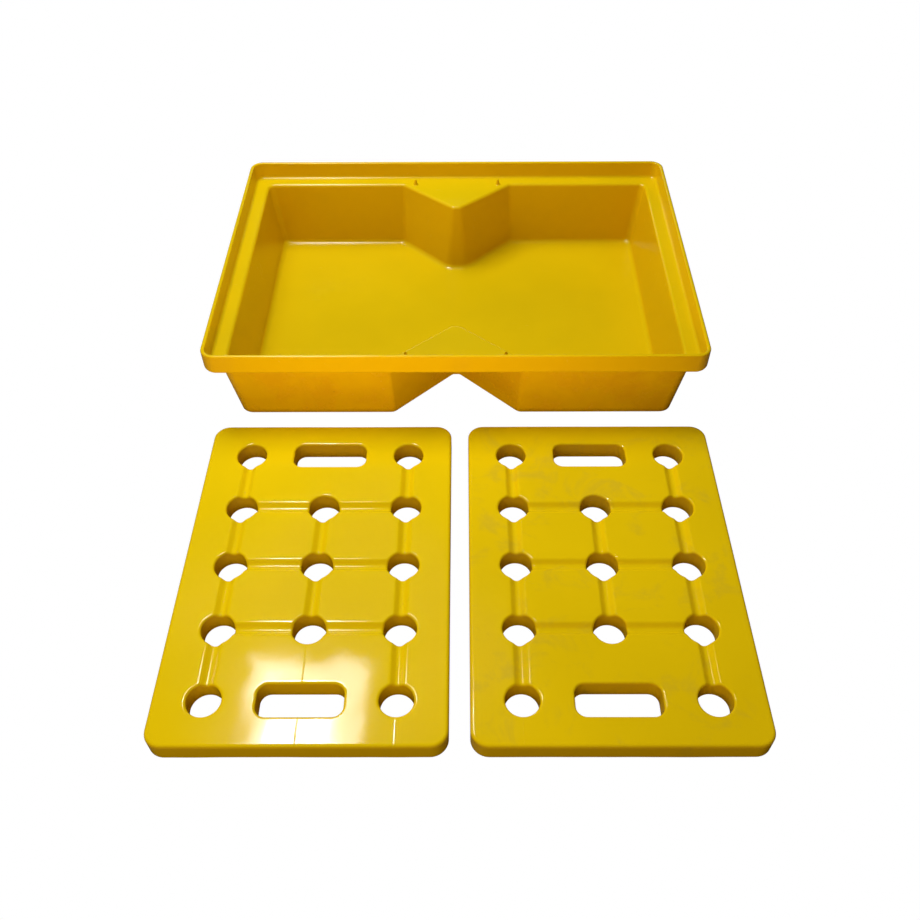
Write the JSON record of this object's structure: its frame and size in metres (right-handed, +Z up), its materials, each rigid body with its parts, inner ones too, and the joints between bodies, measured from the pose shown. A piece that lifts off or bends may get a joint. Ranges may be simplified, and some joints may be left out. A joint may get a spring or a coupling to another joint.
{
  "type": "spill containment pallet",
  "caption": "Low rectangular sump tray with V-shaped internal pillars and loose perforated deck panels that lift out, shown beside it.",
  "frame": {"origin": "centre of the sump tray's flat underside", "axes": "+Z up, +Y from the deck panels towards the back of the tray, +X to the right along the tray's long side"},
  "size_m": [1.005, 1.431, 0.199],
  "materials": {
    "tray_plastic": "glossy moulded polyethylene, dusty on the outside",
    "deck_plastic": "glossy moulded polyethylene, lightly scuffed"
  },
  "bodies": {
    "tray": {"sump_tray": "tray_plastic"},
    "deck_left": {"deck_left": "deck_plastic"},
    "deck_right": {"deck_right": "deck_plastic"}
  },
  "joints": [
    {"name": "deck_left_lift", "type": "slide", "parent": "tray", "child": "deck_left", "axis": [0, 0, 1], "range_m": [0, 0.25]},
    {"name": "deck_right_lift", "type": "slide", "parent": "tray", "child": "deck_right", "axis": [0, 0, 1], "range_m": [0, 0.25]}
  ]
}
